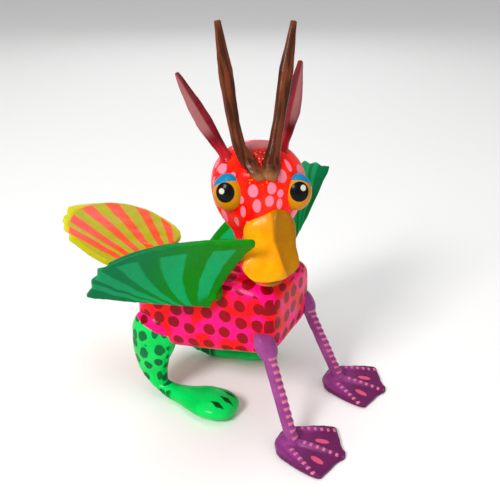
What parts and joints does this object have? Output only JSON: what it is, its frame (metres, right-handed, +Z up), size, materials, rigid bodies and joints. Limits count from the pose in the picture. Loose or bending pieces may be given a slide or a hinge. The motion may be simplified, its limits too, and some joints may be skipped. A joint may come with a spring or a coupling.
{
  "type": "carved winged creature figurine",
  "caption": "Carved and painted wooden creature: duck-billed head on a turning neck, pegged wings, horns, ears and tail fan, webbed front feet and pawed rear legs.",
  "frame": {"origin": "on the ground under the middle of the figure's bounding box", "axes": "+Z up, the creature faces -Y, its left side is +X"},
  "size_m": [0.1034, 0.1258, 0.1413],
  "materials": {
    "torso_paint": "hand-painted, gloss varnish",
    "head_paint": "hand-painted, gloss varnish",
    "bill_paint": "hand-painted, gloss varnish",
    "eye_paint": "hand-painted, gloss varnish",
    "horn_paint": "hand-painted, gloss varnish",
    "ear_paint": "hand-painted, gloss varnish",
    "wing_paint": "hand-painted, gloss varnish",
    "tail_paint": "hand-painted, gloss varnish",
    "front_leg_paint": "hand-painted, gloss varnish",
    "rear_leg_paint": "hand-painted, gloss varnish",
    "bare_wood": "raw sanded wood"
  },
  "bodies": {
    "torso": {"torso": "torso_paint", "neck_dowel": "bare_wood", "front_leg_right": "front_leg_paint", "front_leg_left": "front_leg_paint", "front_leg_pin_right": "bare_wood", "front_leg_pin_left": "bare_wood", "front_foot_right": "front_leg_paint", "front_foot_left": "front_leg_paint", "foot_pin_right": "bare_wood", "foot_pin_left": "bare_wood", "rear_leg_right": "rear_leg_paint", "rear_leg_left": "rear_leg_paint", "rear_leg_dowel_right": "bare_wood", "rear_leg_dowel_left": "bare_wood"},
    "head": {"head": "head_paint", "upper_bill": "bill_paint", "lower_bill": "bill_paint", "eye_right": "eye_paint", "eye_left": "eye_paint"},
    "horn_right": {"horn_right": "horn_paint"},
    "horn_left": {"horn_left": "horn_paint"},
    "ear_right": {"ear_right": "ear_paint"},
    "ear_left": {"ear_left": "ear_paint"},
    "wing_right": {"wing_right": "wing_paint", "wing_peg_right": "bare_wood"},
    "wing_left": {"wing_left": "wing_paint", "wing_peg_left": "bare_wood"},
    "tail": {"tail_fan": "tail_paint", "tail_peg": "bare_wood"}
  },
  "joints": [
    {"name": "head_turn", "type": "hinge", "parent": "torso", "child": "head", "pos_m": [0, -0.01825, 0.06], "axis": [0, 0, 1], "range_deg": [-4, 90]},
    {"name": "wing_right_turn", "type": "hinge", "parent": "torso", "child": "wing_right", "pos_m": [-0.0175, -0.01005, 0.0519], "axis": [-0.9397, 0, 0.342], "range_deg": [-4, 25]},
    {"name": "wing_left_turn", "type": "hinge", "parent": "torso", "child": "wing_left", "pos_m": [0.0175, -0.01005, 0.0519], "axis": [0.9397, 0, 0.342], "range_deg": [-4, 20]},
    {"name": "horn_right_pull", "type": "slide", "parent": "head", "child": "horn_right", "axis": [0.0578, 0.2376, 0.9696], "range_m": [0, 0.012]},
    {"name": "horn_left_pull", "type": "slide", "parent": "head", "child": "horn_left", "axis": [0.3468, -0.0054, 0.9379], "range_m": [0, 0.012]},
    {"name": "ear_right_pull", "type": "slide", "parent": "head", "child": "ear_right", "axis": [0.3363, 0.6902, 0.6408], "range_m": [0, 0.01]},
    {"name": "ear_left_pull", "type": "slide", "parent": "head", "child": "ear_left", "axis": [0.7621, 0.1381, 0.6326], "range_m": [0, 0.01]},
    {"name": "tail_pull", "type": "slide", "parent": "torso", "child": "tail", "axis": [0, 0.9455, 0.3256], "range_m": [0, 0.014]}
  ]
}
